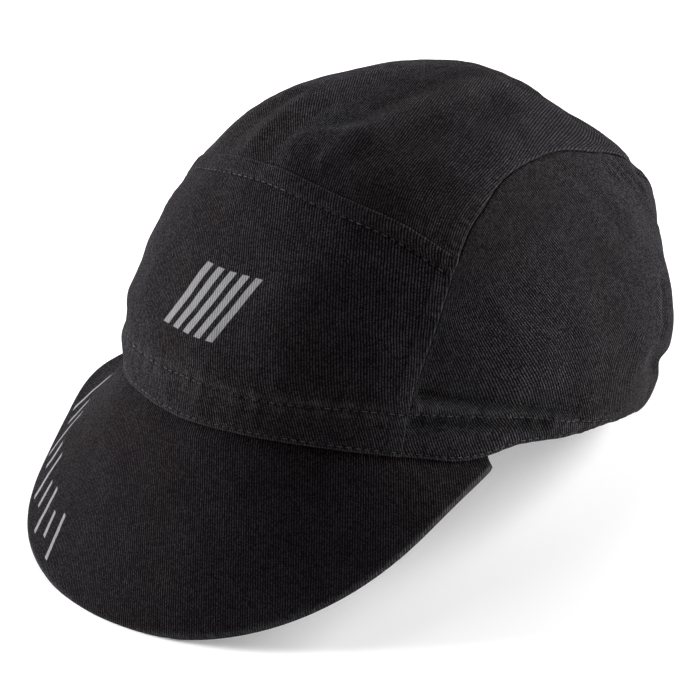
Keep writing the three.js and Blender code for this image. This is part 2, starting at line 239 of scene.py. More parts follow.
def smoothCrown(plan):
    station = stationOf(plan)
    angle = np.arctan2(plan[:, 0], plan[:, 1])
    k = crown["squareness"]
    ahead = (np.cos(angle) - k * np.cos(3 * angle)) / (1 - k)
    aside = (np.sin(angle) + k * np.sin(3 * angle)) / (1 - k)
    reach = np.where(ahead > 0, frontAt(station), backAt(station))
    dip = np.where(ahead > 0, crown["frontDip"], crown["backDip"])
    bearing = np.abs(np.degrees(angle))
    drawn = np.maximum(0, 1 - station / hemDrawTop) ** hemDrawPower
    tuck = drawn * tuckAt(bearing)
    return np.stack([
        (halfWidthAt(station) - tuck) * aside,
        crown["middleY"] - (reach - tuck) * ahead,
        heightAt(station) + dip * ((1 - station) * np.cos(angle)) ** 2 + drawn * riseAt(bearing)], -1)


def planSlopes(plan, step=0.004):
    alongX = smoothCrown(plan + [step, 0]) - smoothCrown(plan - [step, 0])
    alongY = smoothCrown(plan + [0, step]) - smoothCrown(plan - [0, step])
    return alongX / (2 * step), alongY / (2 * step)


def crownNormal(plan):
    alongX, alongY = planSlopes(plan)
    normal = np.cross(alongY, alongX)
    return normal / np.linalg.norm(normal, axis=1, keepdims=True)


# distance from each point to a line of points, and how far along the line its nearest place lies
def nearestOn(points, line):
    best = np.full(len(points), 1e9)
    along = np.zeros(len(points))
    travelled = 0
    for start, end in zip(line, line[1:]):
        side = end - start
        length = np.linalg.norm(side)
        share = np.clip((points - start) @ side / length ** 2, 0, 1)
        gap = np.linalg.norm(points - start - share[:, None] * side, axis=1)
        closer = gap < best
        best[closer] = gap[closer]
        along[closer] = travelled + share[closer] * length
        travelled += length
    return best, along


# how far each point of a line lies along it, and the plan point at such a distance
def walkedAlong(line):
    return np.concatenate([[0], np.cumsum(np.linalg.norm(np.diff(line, axis=0), axis=1))])


def pointAt(distance, walked, plan):
    return np.stack([np.interp(distance, walked, plan[:, 0]), np.interp(distance, walked, plan[:, 1])], -1)


# a smooth curve through plan points, walked evenly from 0 to 1
def planCurve(rows, steps=40):
    corners = planPoints([row[0] for row in rows], [row[1] for row in rows])
    padded = np.concatenate([corners[:1], corners, corners[-1:]])
    fine = []
    for i in range(len(corners) - 1):
        before, start, end, after = padded[i:i + 4]
        t = np.linspace(0, 1, steps, endpoint=i == len(corners) - 2)[:, None]
        leave = (end - before) / 2
        arrive = (after - start) / 2
        fine.append((2 * start - 2 * end + leave + arrive) * t ** 3
                    + (3 * end - 3 * start - 2 * leave - arrive) * t ** 2 + leave * t + start)
    fine = np.concatenate(fine)
    walked = walkedAlong(fine)
    walked /= walked[-1]
    return lambda t: pointAt(t, walked, fine)


mirrorPlan = np.array([-1, 1])
frontTopCurve = planCurve(frontTopSeam)
frontSideCurve = planCurve(frontSideSeam)
topSideCurve = planCurve(topSideSeam)
frontEdge = frontSideSeam[0][0]
backEdge = topSideSeam[-1][0]
middleEnds = planPoints([0, 180], [frontTopSeam[3][1], 0])


def rimBetween(start, end):
    return lambda t: planPoints(start + (end - start) * t, np.zeros_like(t))


def middleCurve(t):
    return middleEnds[0] + (middleEnds[1] - middleEnds[0]) * np.asarray(t)[:, None]


def mirrored(curve):
    return lambda t: curve(t) * mirrorPlan


# the line of stitches along the top of the band: bearing, station
bandStitchRows = [
    (0, 0.1), (26, 0.1), (40, 0.112), (60, 0.115), (76, 0.112), (86, 0.1), (98, 0.09), (120, 0.085),
    (180, 0.085),
]
bandStationAt = naturalSpline([row[0] for row in bandStitchRows], [row[1] for row in bandStitchRows])


# moves a line of plan points sideways over the crown by a distance in millimetres
def offsetPlan(plan, distance):
    points = smoothCrown(plan)
    side = np.cross(crownNormal(plan), np.gradient(points, axis=0))
    side *= distance / np.linalg.norm(side, axis=1, keepdims=True)
    alongX, alongY = planSlopes(plan)
    xx = (alongX ** 2).sum(1)
    xy = (alongX * alongY).sum(1)
    yy = (alongY ** 2).sum(1)
    xs = (alongX * side).sum(1)
    ys = (alongY * side).sum(1)
    size = xx * yy - xy ** 2
    return plan + np.stack([yy * xs - xy * ys, xx * ys - xy * xs], -1) / size[:, None]


thread = {
    "pitch": 3.1, "length": 2.3, "width": 0.38, "height": 0.28, "sunk": 0.04,
    "belowSeam": 6.6,         # the row below the front panel's upper seam
    "aboveHem": 1.5,          # the row above the hem
    "skew": 0.1, "unevenLength": (0.9, 1.08), "sidesAround": 6, "ringsAlong": 5,
}
# the steps in which seams, rows and the hem are followed
walk = np.linspace(0, 1, 90)
rowWalk = np.linspace(0.012, 0.988, 120)      # ends short of the corners
around = np.linspace(-180, 180, 241)
hemPlan = planPoints(around, np.zeros_like(around))
stitchPlans = {
    "frontTopStitches": offsetPlan(frontTopCurve(rowWalk), -thread["belowSeam"]),
    "bandStitches": planPoints(around, bandStationAt(np.abs(around))),
    "hemStitches": offsetPlan(hemPlan, thread["aboveHem"]),
}
lines = {
    "frontTop": smoothCrown(frontTopCurve(walk)),
    "frontSideLeft": smoothCrown(frontSideCurve(walk)),
    "frontSideRight": smoothCrown(mirrored(frontSideCurve)(walk)),
    "topSideLeft": smoothCrown(topSideCurve(walk)),
    "topSideRight": smoothCrown(mirrored(topSideCurve)(walk)),
    "middle": smoothCrown(middleCurve(walk)),
    "hem": smoothCrown(hemPlan),
}
for rowName, rowPlan in stitchPlans.items():
    lines[rowName] = smoothCrown(rowPlan)


def reliefLines(rows):
    return [(width, depth, smoothCrown(planPoints(*np.array(path).T))) for width, depth, path in rows]


foldLines = reliefLines(folds)
creaseLines = reliefLines(creases)

# what needle and washing leave along each kind of seam: the roll of the panel's edge, the rise and reach of
# the cloth turned in under it, the puckers across it, how pale it is made, as rubbed wear and as painted highlight
# on the rolled edge, and how dark its line is, which is painted shadow where a panel lies under its neighbour's edge
seamKinds = {
    "stitched": {"radius": 0.6, "rise": 0.5, "reach": 6.6, "pucker": 0.12, "wearAndHighlight": 0.9, "dark": 0.35},
    "pressed": {"radius": 0.6, "rise": 0.3, "reach": 6.2, "pucker": 0.24, "wearAndHighlight": 1.0, "dark": 0.3},
    "under": {"radius": 0.4, "rise": 0, "reach": 5.0, "pucker": 0.12, "wearAndHighlight": 0.25, "dark": 0.45},
    "shadowed": {"radius": 0.9, "rise": 0, "reach": 5.0, "pucker": 0.12, "wearAndHighlight": 0.0, "dark": 1.2},
    "soft": {"radius": 0.2, "rise": 0.2, "reach": 3.6, "pucker": 0.08, "wearAndHighlight": 0.25, "dark": 0.12},
}
seamLook = {
    "lineWidth": 0.35,        # of the dark line, wider where it is darker
    "crest": 0.45, "crestWidth": 0.4, "crestWearAndHighlight": 0.8, "crestTicks": 0.2,
    "puckerSpacing": 3.1, "puckerFrom": 2.4, "puckerReach": 0.4, "puckerWorn": 0.06, "puckerTicks": 0.3,
    "stripFade": 0.4, "stripInset": 0.8, "stripWidth": 0.5, "stripWorn": 0.6,      # end of turned-in cloth
}
# besides their rise, the corners get a painted highlight, with some rubbed wear
cornerLook = {"rise": 0.8, "width": 2.2, "wearAndHighlight": 1.0}       # the thick corners where three panels meet
# grooveShade is painted shade along the groove of a row of stitches; the needle holes in it are darkest
stitchLook = {"groove": 0.4, "grooveWidth": 0.8, "holeWidth": 0.6, "holeLength": 1.4, "grooveShade": 0.2}
bandLook = {
    "puckerHeight": 0.34, "puckerSpacing": 7.5, "puckerPhase": 1.1, "puckerReach": 6,
    "crest": 1.7, "crestWidth": 1.1, "wearAndHighlight": 0.3, "wornTicks": 0.3,
}
hemLook = {"radius": 0.7, "crest": 0.6, "crestWidth": 0.6, "wearAndHighlight": 0.55}
# crests of creases are painted pale, as rubbed wear and painted highlight, and their hollows get painted shade
creaseLook = {"wearAndHighlight": 0.75, "shade": 1.05}         # for a crease as high as it is wide
slackLook = {"waves": 26, "shortest": 14, "longest": 60, "height": 0.34, "seed": 5}
crumpleLook = {"waves": 34, "shortest": 3.6, "longest": 9, "height": 0.055, "seed": 8}


def hump(distance, width):
    return np.exp(-(distance / width) ** 2)


def rollDown(distance, radius):
    inside = np.clip(radius - distance, 0, radius)
    return radius - np.sqrt(radius ** 2 - inside ** 2)


# uneven small pleats along a seam, from three waves that don't keep step: height, speed, shift
pleatWaves = [(1, 1, 1), (0.7, 0.71, 2.3), (0.5, 1.37, -1)]


def pleats(along, spacing, phase):
    turn = 2 * np.pi * along / spacing
    waves = sum(height * np.cos(speed * turn + shift * phase) for height, speed, shift in pleatWaves)
    return waves / sum(height for height, _, _ in pleatWaves)


# the even pitch that fills a row of stitches
def stitchPitch(line):
    length = np.linalg.norm(np.diff(line, axis=0), axis=1).sum()
    return length / (length // thread["pitch"])


# slow unevenness of washed cloth, from waves in fixed random directions
def softWaves(points, look):
    random = np.random.default_rng(look["seed"])
    height = np.zeros(len(points))
    for _ in range(look["waves"]):
        direction = random.normal(size=3)
        direction /= np.linalg.norm(direction)
        length = random.uniform(look["shortest"], look["longest"])
        height += np.cos(2 * np.pi * points @ direction / length + random.uniform(0, 2 * np.pi))
    return look["height"] * height / math.sqrt(look["waves"])


# where the gathers over the elastic lie: bearing from the front, how far they have begun, how low it is
def gatherPlaces(plan):
    bearing = np.abs(bearingOf(plan))
    begun = np.clip((bearing - gathers["from"]) / gathers["fadeOver"], 0, 1)
    low = np.clip(1 - stationOf(plan) / gathers["top"], 0, 1)
    return bearing, begun, low


# how far folds and gathers stand out from the smooth crown
def foldRelief(foldsHere, plan, points):
    height = np.zeros(len(points))
    for width, depth, line in foldsHere:
        height += depth * hump(nearestOn(points, line)[0], width)
    bearing, begun, low = gatherPlaces(plan)
    fade = np.sin(np.pi * begun / 2)
    height += gathers["depth"] * fade * np.cos(2 * np.pi * (180 - bearing) / gathers["spacing"]) * low
    return height


# how far the cloth of a panel stands out from the smooth crown, how pale it is there, by rubbed wear and by
# painted highlight on crests, edges and corners, and how dark, by seam lines, needle holes and painted shade
def clothRelief(panel, plan, points):
    height = foldRelief(foldLines + creaseLines, plan, points)
    wearAndHighlight = np.zeros(len(points))
    shade = np.zeros(len(points))
    # painted highlight, with rubbed wear, on the crests of creases, and painted shade in their hollows
    for width, depth, line in creaseLines:
        sharpness = depth / width * hump(nearestOn(points, line)[0], width)
        wearAndHighlight = np.maximum(wearAndHighlight, creaseLook["wearAndHighlight"] * sharpness)
        shade = np.maximum(shade, -creaseLook["shade"] * sharpness)
    bearing, begun, low = gatherPlaces(plan)
    phase = gathers["smallSway"] * np.sin(bearing)
    small = gathers["smallDepth"] * np.cos(2 * np.pi * bearing / gathers["smallSpacing"] + phase)
    height += small * begun * low ** 2
    height += softWaves(points, slackLook) + softWaves(points, crumpleLook)

    for name, kind in panel["seams"].items():
        look = seamKinds[kind]
        distance, along = nearestOn(points, lines[name])
        ticks = pleats(along, seamLook["puckerSpacing"], len(name))
        near = hump(distance - seamLook["puckerFrom"], seamLook["puckerReach"] * look["reach"])
        height -= rollDown(distance, look["radius"])
        height += look["pucker"] * ticks * near
        height += look["rise"] * (0.5 - 0.5 * np.tanh((distance - look["reach"]) / seamLook["stripFade"]))
        # the rolled edge of the seam is painted pale, as rubbed wear and as painted highlight
        crest = hump(distance - seamLook["crest"], seamLook["crestWidth"])
        crestWearAndHighlight = look["wearAndHighlight"] * crest * (seamLook["crestWearAndHighlight"] + seamLook["crestTicks"] * ticks)
        puckerWorn = look["wearAndHighlight"] * near * (seamLook["puckerWorn"] + seamLook["puckerTicks"] * ticks)
        strip = hump(distance - look["reach"] + seamLook["stripInset"], seamLook["stripWidth"])
        stripWorn = seamLook["stripWorn"] * look["rise"] * strip
        wearAndHighlight = np.maximum.reduce([wearAndHighlight, crestWearAndHighlight, puckerWorn, stripWorn])
        # the seam's dark line; where the panel lies under its neighbour's edge it is painted shadow
        lineWidth = seamLook["lineWidth"] * (1 + look["dark"])
        shade = np.maximum(shade, look["dark"] * hump(distance, lineWidth))

    # the thick corners are raised and get a painted highlight, with some rubbed wear
    if "frontTop" in panel["seams"]:
        corners = lines["frontTop"][[0, -1]]
        fromCorner = np.linalg.norm(points[:, None] - corners, axis=2).min(axis=1)
        height += cornerLook["rise"] * hump(fromCorner, cornerLook["width"])
        wearAndHighlight = np.maximum(wearAndHighlight, cornerLook["wearAndHighlight"] * hump(fromCorner, cornerLook["width"]))

    # painted shade along the groove of each row, with dark needle holes between the stitches
    for name in panel["stitches"]:
        distance, along = nearestOn(points, lines[name])
        height -= stitchLook["groove"] * hump(distance, stitchLook["grooveWidth"])
        beat = np.cos(2 * np.pi * along / stitchPitch(lines[name]))
        hole = np.clip(stitchLook["holeLength"] * beat, 0, 1)
        dark = stitchLook["grooveShade"] + (1 - stitchLook["grooveShade"]) * hole
        shade = np.maximum(shade, dark * hump(distance, stitchLook["holeWidth"]))

    distance, along = nearestOn(points, lines["bandStitches"])
    ticks = pleats(along, bandLook["puckerSpacing"], bandLook["puckerPhase"])
    height += bandLook["puckerHeight"] * ticks * np.exp(-distance / bandLook["puckerReach"])
    crest = hump(distance - bandLook["crest"], bandLook["crestWidth"])
    wearAndHighlight = np.maximum(wearAndHighlight, (bandLook["wearAndHighlight"] + bandLook["wornTicks"] * ticks) * crest)
    distance = nearestOn(points, lines["hem"])[0]
    height -= rollDown(distance, hemLook["radius"])
    wearAndHighlight = np.maximum(wearAndHighlight, hemLook["wearAndHighlight"] * hump(distance - hemLook["crest"], hemLook["crestWidth"]))
    return height, {"wearAndHighlight": np.clip(wearAndHighlight, 0, 1), "shade": np.clip(shade, 0, 1)}


def clothCrown(panel, plan):
    points = smoothCrown(plan)
    height, values = clothRelief(panel, plan, points)
    normals = crownNormal(plan)
    return points + normals * height[:, None], normals, values


# tips the upright cap nose up, sets it on the floor and flattens what would sink into it
def setDown(points):
    turn = math.radians(rest["tip"])
    y = points[:, 1] * math.cos(turn) + points[:, 2] * math.sin(turn) + rest["shiftY"]
    z = points[:, 2] * math.cos(turn) - points[:, 1] * math.sin(turn) + rest["lift"]
    return np.stack([points[:, 0], y, np.maximum(z, 0)], -1) * millimetre


# cloth material

# adds a node; an input is named, or taken by its place as i and a number
def addNode(tree, kind, settings=None, **inputs):
    node = tree.nodes.new(kind)
    for name, value in (settings or {}).items():
        setattr(node, name, value)
    for name, value in inputs.items():
        socket = node.inputs[int(name[1:])] if name[0] == "i" and name[1:].isdigit() else node.inputs[name]
        if isinstance(value, bpy.types.NodeSocket):
            tree.links.new(value, socket)
        else:
            socket.default_value = value
    return node


def combine(tree, operation, a, b=0.0, c=0.0):
    return addNode(tree, "ShaderNodeMath", {"operation": operation}, i0=a, i1=b, i2=c).outputs[0]


def mixColours(tree, factor, a, b, kind="MIX"):
    node = addNode(tree, "ShaderNodeMix", {"data_type": "RGBA", "blend_type": kind}, i0=factor, i6=a, i7=b)
    return node.outputs[2]


def mapRange(tree, value, low, high, toLow=0.0, toHigh=1.0):
    node = addNode(tree, "ShaderNodeMapRange", {"interpolation_type": "SMOOTHSTEP"},
                   i0=value, i1=low, i2=high, i3=toLow, i4=toHigh)
    return node.outputs[0]


def grey(level, red=1.0, green=1.0, blue=1.0):
    return (level * red, level * green, level * blue, 1)


twill = {
    "dark": grey(0.001, 2.6, 0.4, 1.7),
    "light": grey(0.051, 1.0, 1.01, 1.04),
    # the pale colour of rubbed wear and lint, and of painted highlight on crests, edges and corners
    "wearAndHighlight": grey(0.085, 1.0, 0.99, 1.03),
    "ink": grey(0.3, 1.0, 1.0, 1.02),
    # the line colour darkens needle holes and seam lines, and is painted shade in crease hollows, stitch grooves,
    # under overlapping edges and at the peak's rim
    "line": grey(0.0008), "holeAndShadeDepth": 0.95,      # seam lines and needle holes
    "warm": grey(1, 1.06, 0.97, 0.98), "cool": grey(1, 0.96, 0.99, 1.07),
    "relief": 0.0004,         # metres from the valley to the top of a rib
    "fuzz": 0.24,             # sheen of the fuzz on the tops of the ribs
    "fuzzRoughness": 0.35,
    "specular": 0.02,
}

# the pattern: a noise as waves to a metre, detail and roughness, a range as low and high with or without what
# they become, and a mix as what a value is multiplied by and what is added to it
weaveLook = {
    "ribWander": 0.9, "ribWanderScale": 0.8, "ribDetail": 2.0, "ribRange": (0.2, 0.9),
    "yarnTwist": 1.6, "yarnWander": 1.5, "yarnDetail": 1.0, "yarnMix": (0.4, 0.6), "weaveMix": (0.88, 0.1),
    "fleckSize": 2300.0, "fleckRange": (0.1, 1.1), "fleckMix": (0.85, 0.2),
    "cloudNoise": (70.0, 5.0, 0.65), "cloudRange": (0.3, 0.7), "cloudMix": (0.32, 0.78),
    "driftNoise": (16.0, 2.0, 0.5), "driftRange": (0.3, 0.7), "driftTimes": 0.15, "warmRange": (0.35, 0.65),
    "lintNoise": (700.0, 4.0, 0.75), "lintRange": (0.62, 0.74, 0.0, 0.45),
    "wearAndHighlightLint": (0.34, 0.66, 0.1, 1.0), "wearAndHighlightWeave": (0.7, 0.4),
    "roughness": (0.0, 1.0, 0.8, 0.96), "inkRoughness": -0.25,
    "inkLint": (0.68, 0.8, 1.0, 0.35), "inkWeave": (grey(0.72), grey(1.0)),
    "fleckHeight": 0.6, "lintHeight": 0.6,
}


# cloth of slanting ribs, seen in the piece's own cloth plane: ribs is their angle from U and their spacing in
# millimetres, ink is a function that masks a printed mark, pale is the lightness beside the crown's, and below 1
# it darkens the same cloth as painted shade
def twillMaterial(name, ribs, ink=None, pale=1.0):
    angle, spacing = ribs
    look = weaveLook
    material = bpy.data.materials.new(name)
    material.use_nodes = True
    tree = material.node_tree
    tree.nodes.clear()
    uv = addNode(tree, "ShaderNodeUVMap", {"uv_map": "clothUv"}).outputs[0]
    ribPlane = addNode(tree, "ShaderNodeMapping", Vector=uv)
    perMetre = 1000 / spacing
    ribPlane.inputs["Rotation"].default_value = (0, 0, math.radians(90 - angle))
    ribPlane.inputs["Scale"].default_value = (perMetre, perMetre, 1)
    oneRib = math.pi / 10          # the wave node's scale for one band in each unit
    rib = addNode(tree, "ShaderNodeTexWave", {"bands_direction": "X"}, Vector=ribPlane.outputs[0],
                  Scale=oneRib, Distortion=look["ribWander"], Detail=look["ribDetail"])
    rib.inputs["Detail Scale"].default_value = look["ribWanderScale"]
    yarn = addNode(tree, "ShaderNodeTexWave", {"bands_direction": "DIAGONAL"}, Vector=ribPlane.outputs[0],
                   Scale=2 * oneRib * look["yarnTwist"], Distortion=look["yarnWander"],
                   Detail=look["yarnDetail"])
    flecks = addNode(tree, "ShaderNodeTexVoronoi", Vector=uv, Scale=look["fleckSize"])
    lint, cloud, drift = [
        addNode(tree, "ShaderNodeTexNoise", Vector=uv, Scale=size, Detail=detail, Roughness=rough).outputs[0]
        for size, detail, rough in (look["lintNoise"], look["cloudNoise"], look["driftNoise"])]

    ridge = mapRange(tree, rib.outputs[1], *look["ribRange"])
    weave = combine(tree, "MULTIPLY", ridge, combine(tree, "MULTIPLY_ADD", yarn.outputs[1], *look["yarnMix"]))
    fleck = addNode(tree, "ShaderNodeSeparateXYZ", Vector=flecks.outputs[1]).outputs[0]
    speckle = mapRange(tree, fleck, *look["fleckRange"])
    tone = combine(tree, "MULTIPLY", combine(tree, "MULTIPLY_ADD", weave, *look["weaveMix"]),
                   combine(tree, "MULTIPLY_ADD", speckle, *look["fleckMix"]))
    patches = mapRange(tree, cloud, *look["cloudRange"])
    patches = combine(tree, "MULTIPLY_ADD", patches, *look["cloudMix"])
    drifts = mapRange(tree, drift, *look["driftRange"])
    patches = combine(tree, "MULTIPLY_ADD", drifts, look["driftTimes"], patches)
    tone = combine(tree, "MULTIPLY", tone, patches)
    colour = mixColours(tree, tone, twill["dark"], grey(pale, *twill["light"][:3]))
    warmth = mapRange(tree, drift, *look["warmRange"])
    colour = mixColours(tree, 1.0, colour, mixColours(tree, warmth, twill["warm"], twill["cool"]), "MULTIPLY")

    # pale where the cloth is rubbed along the seams and painted highlight where it stands up; dark in the needle
    # holes and seam lines, and painted shade in crease hollows, stitch grooves, under overlapping edges and at the
    # peak's rim
    wearAndHighlight = addNode(tree, "ShaderNodeAttribute", {"attribute_name": "wearAndHighlight"}).outputs[2]
    wearAndHighlight = combine(tree, "MULTIPLY", wearAndHighlight, mapRange(tree, lint, *look["wearAndHighlightLint"]))
    wearAndHighlight = combine(tree, "MULTIPLY", wearAndHighlight, combine(tree, "MULTIPLY_ADD", weave, *look["wearAndHighlightWeave"]))
    colour = mixColours(tree, wearAndHighlight, colour, twill["wearAndHighlight"])
    colour = mixColours(tree, mapRange(tree, lint, *look["lintRange"]), colour, twill["wearAndHighlight"])
    shade = addNode(tree, "ShaderNodeAttribute", {"attribute_name": "shade"}).outputs[2]
    colour = mixColours(tree, combine(tree, "MULTIPLY", shade, twill["holeAndShadeDepth"]), colour, twill["line"])

    roughness = mapRange(tree, fleck, *look["roughness"])
    if ink:
        gaps = mapRange(tree, lint, *look["inkLint"])
        printed = combine(tree, "MULTIPLY", ink(tree, uv), gaps)
        inkTone = mixColours(tree, weave, *look["inkWeave"])
        inkColour = mixColours(tree, 1.0, inkTone, twill["ink"], "MULTIPLY")
        colour = mixColours(tree, printed, colour, inkColour)
        roughness = combine(tree, "MULTIPLY_ADD", printed, look["inkRoughness"], roughness)
    shader = addNode(tree, "ShaderNodeBsdfPrincipled", Roughness=roughness)
    shader.inputs["Specular IOR Level"].default_value = twill["specular"]
    tree.links.new(combine(tree, "MULTIPLY", tone, twill["fuzz"]), shader.inputs["Sheen Weight"])
    shader.inputs["Sheen Roughness"].default_value = twill["fuzzRoughness"]
    tree.links.new(colour, shader.inputs["Base Color"])

    height = combine(tree, "MULTIPLY_ADD", speckle, look["fleckHeight"], weave)
    height = combine(tree, "MULTIPLY_ADD", lint, look["lintHeight"], height)
    bump = addNode(tree, "ShaderNodeBump", Height=height, Strength=1.0, Distance=twill["relief"])
    tree.links.new(bump.outputs[0], shader.inputs["Normal"])
    output = addNode(tree, "ShaderNodeOutputMaterial")
    tree.links.new(shader.outputs[0], output.inputs[0])
    return material


# how far a place is from the middle of the nearest bar in a row, in the row's own unit
def fromNearestBar(tree, turns, pitch):
    off = combine(tree, "SUBTRACT", combine(tree, "FRACT", turns), 0.5)
    return combine(tree, "MULTIPLY", combine(tree, "ABSOLUTE", off), pitch)


# 1 where the value is under a limit, 0 beyond it, with a soft edge
def within(tree, value, limit, edge):
    return mapRange(tree, value, limit - edge, limit + edge, 1.0, 0.0)


# a patch of five equal slanting bars on the front panel, in millimetres on the cloth
frontMark = {
    "aboveHem": 41, "height": 25, "pitch": 5.7, "barWidth": 3.1, "lean": 0.36, "bars": 5, "edge": 0.12,
}


def barsPatch(tree, uv):
    apart = addNode(tree, "ShaderNodeSeparateXYZ", Vector=uv)
    across = combine(tree, "MULTIPLY", apart.outputs[0], 1000)
    up = combine(tree, "MULTIPLY_ADD", apart.outputs[1], 1000, -frontMark["aboveHem"])
    slid = combine(tree, "MULTIPLY_ADD", up, -frontMark["lean"], across)
    turns = combine(tree, "MULTIPLY_ADD", slid, 1 / frontMark["pitch"], 0.5)
    fromBar = fromNearestBar(tree, turns, frontMark["pitch"])
    edge = frontMark["edge"]
    bars = within(tree, fromBar, frontMark["barWidth"] / 2, edge)
    inPatch = within(tree, combine(tree, "ABSOLUTE", slid), frontMark["bars"] * frontMark["pitch"] / 2, edge)
    inHeight = within(tree, combine(tree, "ABSOLUTE", up), frontMark["height"] / 2, edge)
    return combine(tree, "MULTIPLY", combine(tree, "MULTIPLY", bars, inPatch), inHeight)


# a row of long and short strokes near the peak's edge: bearings, pitch and half a stroke's width in degrees,
# lean in degrees to a millimetre, the rest in millimetres, where long and short are half lengths
peakMark = {
    "from": -57, "to": -18, "pitch": 4.3, "stroke": 0.5, "lean": 0.09,
    "middle": 12.5, "long": 8, "short": 4.5, "edge": 0.12,
}


def strokesRow(tree, uv):
    bearing = addNode(tree, "ShaderNodeAttribute", {"attribute_name": "bearing"}).outputs[2]
    fromEdge = addNode(tree, "ShaderNodeAttribute", {"attribute_name": "edgeDistance"}).outputs[2]
    inward = combine(tree, "SUBTRACT", fromEdge, peakMark["middle"])
    slid = combine(tree, "MULTIPLY_ADD", inward, peakMark["lean"], bearing)
    slid = combine(tree, "SUBTRACT", slid, peakMark["from"])
    turns = combine(tree, "MULTIPLY", slid, 1 / peakMark["pitch"])
    odd = combine(tree, "MODULO", combine(tree, "FLOOR", turns), 2)
    half = combine(tree, "MULTIPLY_ADD", odd, peakMark["short"] - peakMark["long"], peakMark["long"])
    fromStroke = fromNearestBar(tree, turns, peakMark["pitch"])
    strokes = within(tree, fromStroke, peakMark["stroke"], peakMark["edge"] / 2)
    beyond = combine(tree, "SUBTRACT", combine(tree, "ABSOLUTE", inward), half)
    inHeight = within(tree, beyond, 0, peakMark["edge"])
    last = combine(tree, "LESS_THAN", slid, peakMark["to"] - peakMark["from"])
    first = combine(tree, "GREATER_THAN", slid, 0)
    inRow = combine(tree, "MULTIPLY", first, last)
    return combine(tree, "MULTIPLY", combine(tree, "MULTIPLY", strokes, inHeight), inRow)


# the five panels

samePlace = 1e-6         # metres


# a flat grid, the places of its vertices row by row as shares of its width and height, and each one's number
def clothGrid(columns, rows):
    bm = bmesh.new()
    bmesh.ops.create_grid(bm, x_segments=columns, y_segments=rows, size=0.5)
    places = np.array([vertex.co[:2] for vertex in bm.verts]) + 0.5
    column = np.rint(places[:, 0] * columns).astype(int)
    row = np.rint(places[:, 1] * rows).astype(int)
    order = row * (columns + 1) + column
    shares = np.empty_like(places)
    shares[order] = places
    return bm, shares, order


# closer steps near both ends, where the seams are
def crowdEnds(share, amount):
    return share - amount * np.sin(2 * np.pi * share) / (2 * np.pi)


# fills in between four curves that meet at the corners
def fillPatch(edges, u, v):
    bottom, top, left, right = edges
    ends = np.array([0.0, 1.0])
    bottomLeft, bottomRight = bottom(ends)
    topLeft, topRight = top(ends)
    a = u[:, None]
    b = v[:, None]
    across = (1 - b) * bottom(u) + b * top(u)
    upward = (1 - a) * left(v) + a * right(v)
    corners = ((1 - a) * (1 - b) * bottomLeft + a * (1 - b) * bottomRight
               + (1 - a) * b * topLeft + a * b * topRight)
    return across + upward - corners


# distances along the cloth, across from the middle column and up from the first row, in metres
def clothUvs(points, columns, rows):
    grid = points.reshape(rows + 1, columns + 1, 3)
    acrossSteps = np.linalg.norm(np.diff(grid, axis=1), axis=2)
    across = np.concatenate([np.zeros((rows + 1, 1)), np.cumsum(acrossSteps, axis=1)], axis=1)
    across -= across[:, columns // 2:columns // 2 + 1]
    upSteps = np.linalg.norm(np.diff(grid, axis=0), axis=2)
    up = np.concatenate([np.zeros((1, columns + 1)), np.cumsum(upSteps, axis=0)], axis=0)
    return np.stack([across.ravel(), up.ravel()], -1) * millimetre


def finishPiece(name, bm, material, nodes=()):
    mesh = bpy.data.meshes.new(name)
    bm.to_mesh(mesh)
    bm.free()
    mesh.shade_smooth()
    mesh.materials.append(material)
    piece = bpy.data.objects.new(name, mesh)
    bpy.context.scene.collection.objects.link(piece)
    if nodes:
        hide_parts(*nodes)
    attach(piece, "root")
    triangles = sum(len(face.vertices) - 2 for face in mesh.polygons)
    print(name, "built:", triangles, "triangles")
    return piece


# a closed cloth body: the outer grid is placed, gets its UVs and its values, and is backed by an inner one
def clothBody(bm, order, outer, inner, uvs, values):
    uvLayer = bm.loops.layers.uv.new("clothUv")
    valueLayers = {name: bm.verts.layers.float.new(name) for name in values}
    vertices = list(bm.verts)
    for vertex, i in zip(vertices, order):
        vertex.co = outer[i]
        for name, layer in valueLayers.items():
            vertex[layer] = values[name][i]
    for face in bm.faces:
        for loop in face.loops:
            loop[uvLayer].uv = uvs[order[loop.vert.index]]
    lining = bmesh.ops.duplicate(bm, geom=bm.verts[:] + bm.edges[:] + bm.faces[:])
    inside = lining["vert_map"]
    for vertex, i in zip(vertices, order):
        inside[vertex].co = inner[i]
    innerFaces = [item for item in lining["geom"] if isinstance(item, bmesh.types.BMFace)]
    bmesh.ops.reverse_faces(bm, faces=innerFaces)
    bmesh.ops.remove_doubles(bm, verts=[vertex for vertex in bm.verts if vertex.is_boundary], dist=samePlace)
    rim = [edge for edge in bm.edges if edge.is_boundary]
    if rim:
        bmesh.ops.bridge_loops(bm, edges=rim)
    bm.normal_update()


seamSplit = 0.67        # how much of the arched seam is a side panel's top, the rest its back edge


def sideTopCurve(t):
    return topSideCurve(t * seamSplit)


def sideBackCurve(t):
    return topSideCurve(1 - t * (1 - seamSplit))


